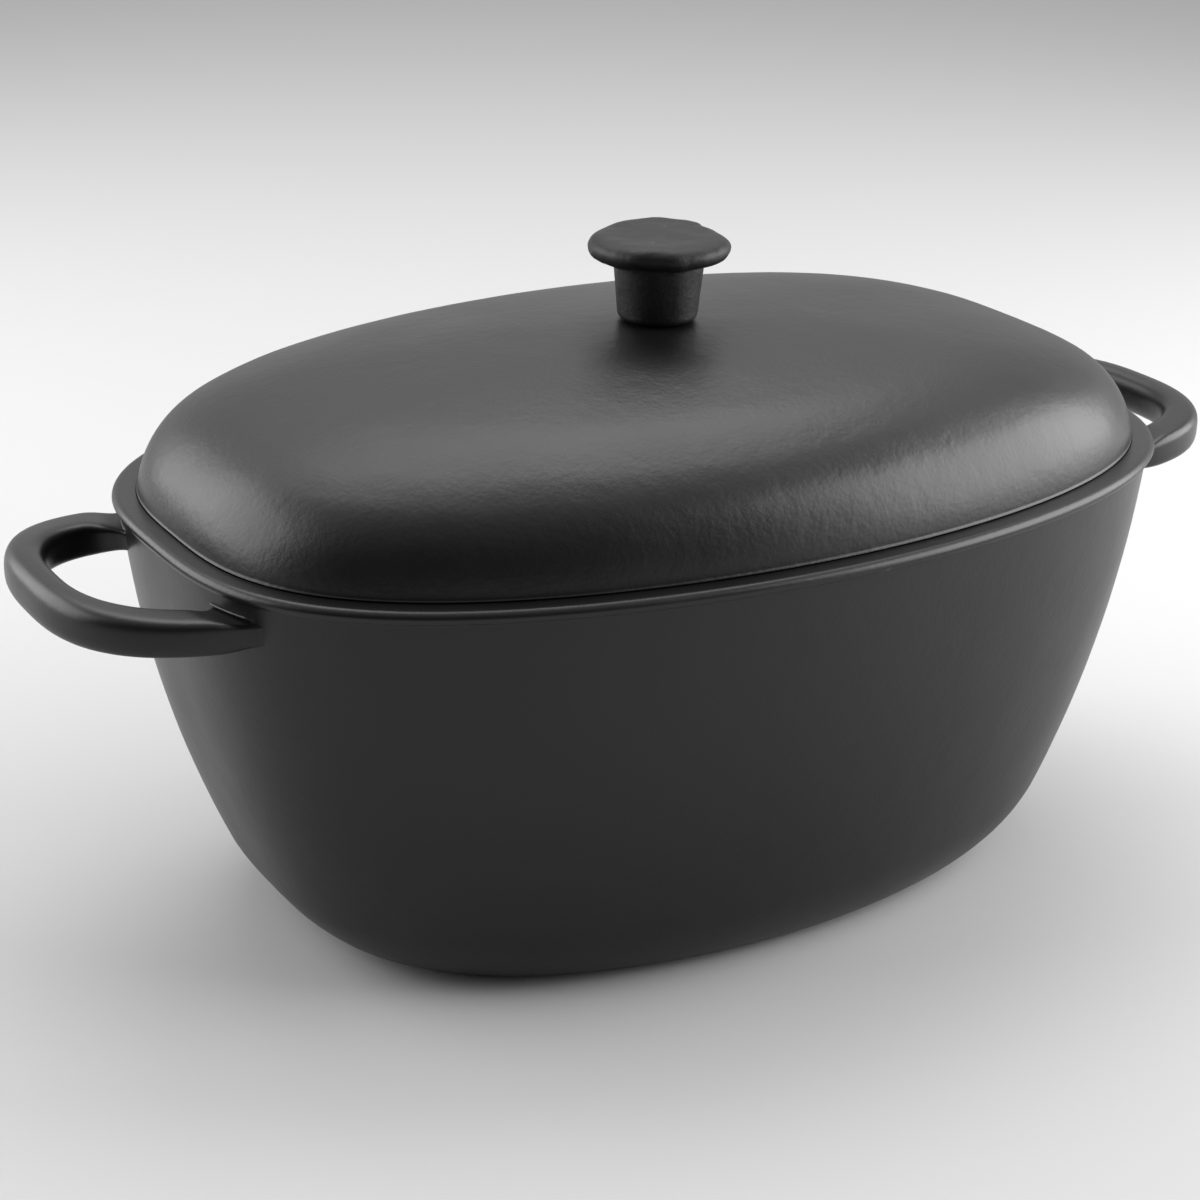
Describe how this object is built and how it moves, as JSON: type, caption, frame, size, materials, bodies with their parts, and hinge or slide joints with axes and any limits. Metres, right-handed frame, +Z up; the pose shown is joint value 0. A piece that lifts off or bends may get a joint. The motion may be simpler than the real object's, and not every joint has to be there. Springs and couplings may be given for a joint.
{
  "type": "dutch oven",
  "caption": "Oval cast iron dutch oven with a loop handle at each end and a domed lift-off lid with a mushroom knob.",
  "frame": {"origin": "centre of the flat underside of the base", "axes": "+X along the long axis from one handle to the other, +Y across the pot, +Z up through the knob"},
  "size_m": [0.4542, 0.2436, 0.2254],
  "materials": {
    "cast_iron_pot": "seasoned black iron, satin, fairly smooth as cast",
    "cast_iron_lid": "seasoned black iron, satin, fine sand-cast grain",
    "cast_iron_knob": "seasoned black iron, rough as cast",
    "steel_fasteners": "plain turned steel"
  },
  "bodies": {
    "pot": {"pot": "cast_iron_pot"},
    "lid": {"lid": "cast_iron_lid", "knob": "cast_iron_knob", "knob_screw": "steel_fasteners", "lock_washer": "steel_fasteners"}
  },
  "joints": [
    {"name": "lid_lift", "type": "slide", "parent": "pot", "child": "lid", "axis": [0, 0, 1], "range_m": [0, 0.2]}
  ]
}
